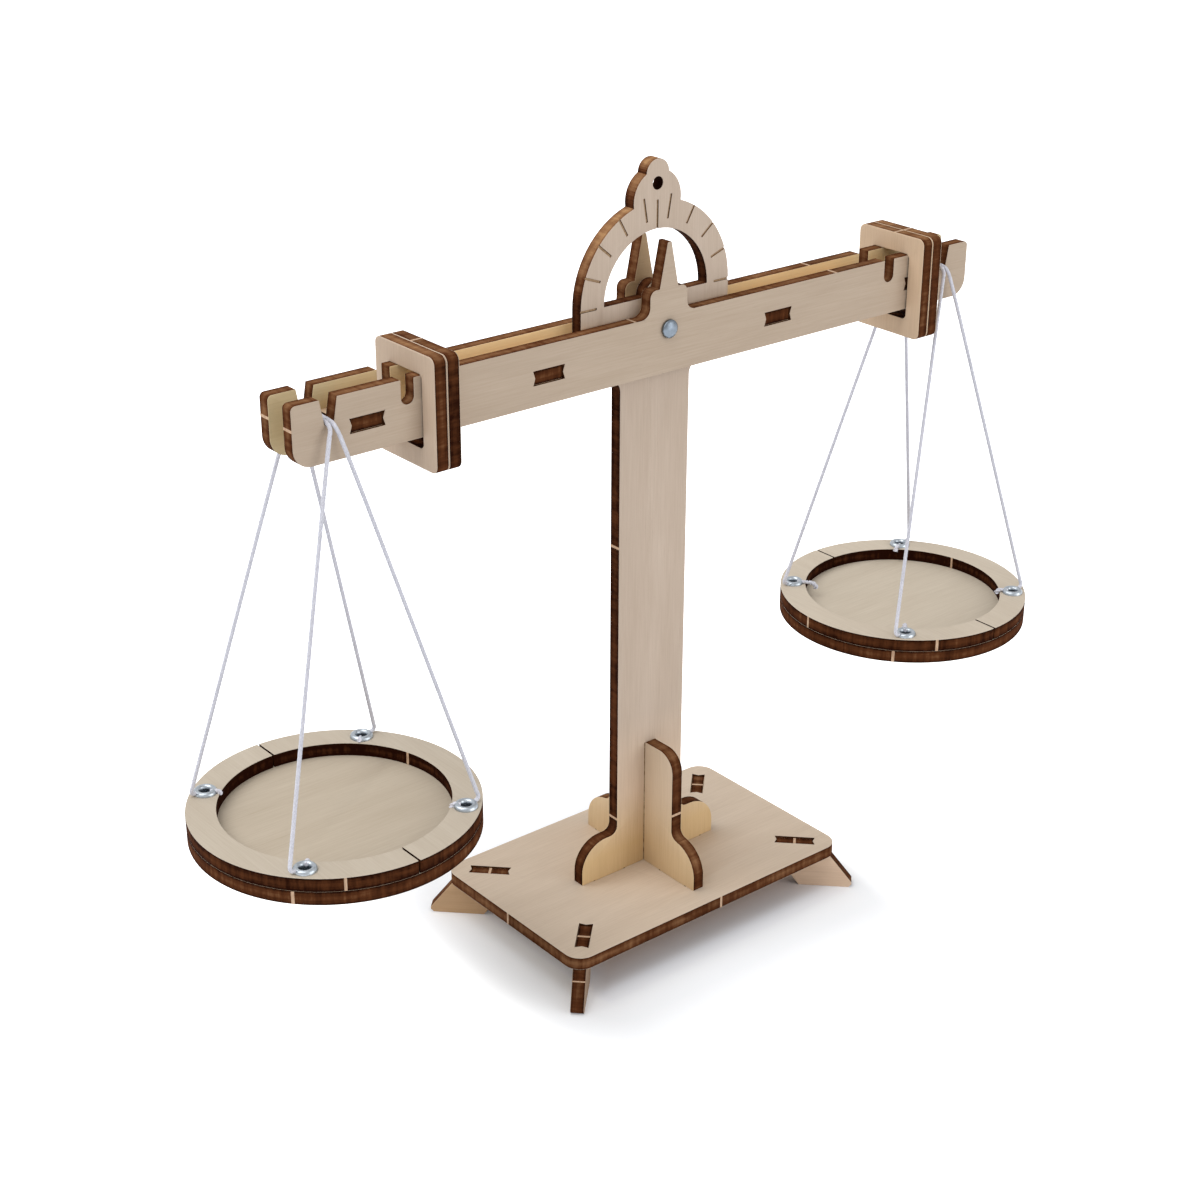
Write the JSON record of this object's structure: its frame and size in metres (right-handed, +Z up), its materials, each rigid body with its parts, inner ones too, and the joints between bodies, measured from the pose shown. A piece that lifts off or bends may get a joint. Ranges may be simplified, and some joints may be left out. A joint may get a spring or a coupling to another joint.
{
  "type": "balance scale toy",
  "caption": "Wooden two-pan balance scale toy with a slotted column on a footed base, sliding riders on its beam and round pans hung on strings.",
  "frame": {"origin": "on the table, midway between the feet, under the column", "axes": "+X along the beam to the right, -Y to the front, +Z up"},
  "size_m": [0.2258, 0.06, 0.1753],
  "materials": {
    "plywood": "raw birch plywood with charred laser-cut edges",
    "rivet_metal": "bright",
    "eyelet_metal": "bright",
    "string": "matte white"
  },
  "bodies": {
    "stand": {"base_plate": "plywood", "foot_front_left": "plywood", "foot_front_right": "plywood", "foot_back_left": "plywood", "foot_back_right": "plywood", "column_board": "plywood", "column_rib": "plywood", "pivot_pin": "rivet_metal", "pivot_cap": "rivet_metal"},
    "beam": {"beam_front_plate": "plywood", "beam_back_plate": "plywood", "spacer_left_outer": "plywood", "spacer_left_inner": "plywood", "spacer_right_inner": "plywood", "spacer_right_outer": "plywood"},
    "left_rider": {"rider_left_outer_plate": "plywood", "rider_left_inner_plate": "plywood"},
    "right_rider": {"rider_right_outer_plate": "plywood", "rider_right_inner_plate": "plywood"},
    "left_pan": {"left_pan_disc": "plywood", "left_pan_rim_outer": "plywood", "left_pan_rim_inner": "plywood", "left_eyelet_front_outer": "eyelet_metal", "left_eyelet_back_outer": "eyelet_metal", "left_eyelet_front_inner": "eyelet_metal", "left_eyelet_back_inner": "eyelet_metal", "left_string_outer": "string", "left_string_inner": "string"},
    "right_pan": {"right_pan_disc": "plywood", "right_pan_rim_outer": "plywood", "right_pan_rim_inner": "plywood", "right_eyelet_front_outer": "eyelet_metal", "right_eyelet_back_outer": "eyelet_metal", "right_eyelet_front_inner": "eyelet_metal", "right_eyelet_back_inner": "eyelet_metal", "right_string_outer": "string", "right_string_inner": "string"}
  },
  "joints": [
    {"name": "beam_tilt", "type": "hinge", "parent": "stand", "child": "beam", "pos_m": [0, 0, 0.1407], "axis": [0, 1, 0], "range_deg": [-20, 20]},
    {"name": "left_rider_slide", "type": "slide", "parent": "beam", "child": "left_rider", "axis": [1, 0, 0], "range_m": [-0.015, 0.03]},
    {"name": "right_rider_slide", "type": "slide", "parent": "beam", "child": "right_rider", "axis": [1, 0, 0], "range_m": [-0.045, 0]},
    {"name": "left_pan_swing", "type": "hinge", "parent": "beam", "child": "left_pan", "pos_m": [-0.0829, 0, 0.13935], "axis": [0, -1, 0], "range_deg": [-20, 20]},
    {"name": "right_pan_swing", "type": "hinge", "parent": "beam", "child": "right_pan", "pos_m": [0.0829, 0, 0.13935], "axis": [0, -1, 0], "range_deg": [-2, 20]}
  ]
}
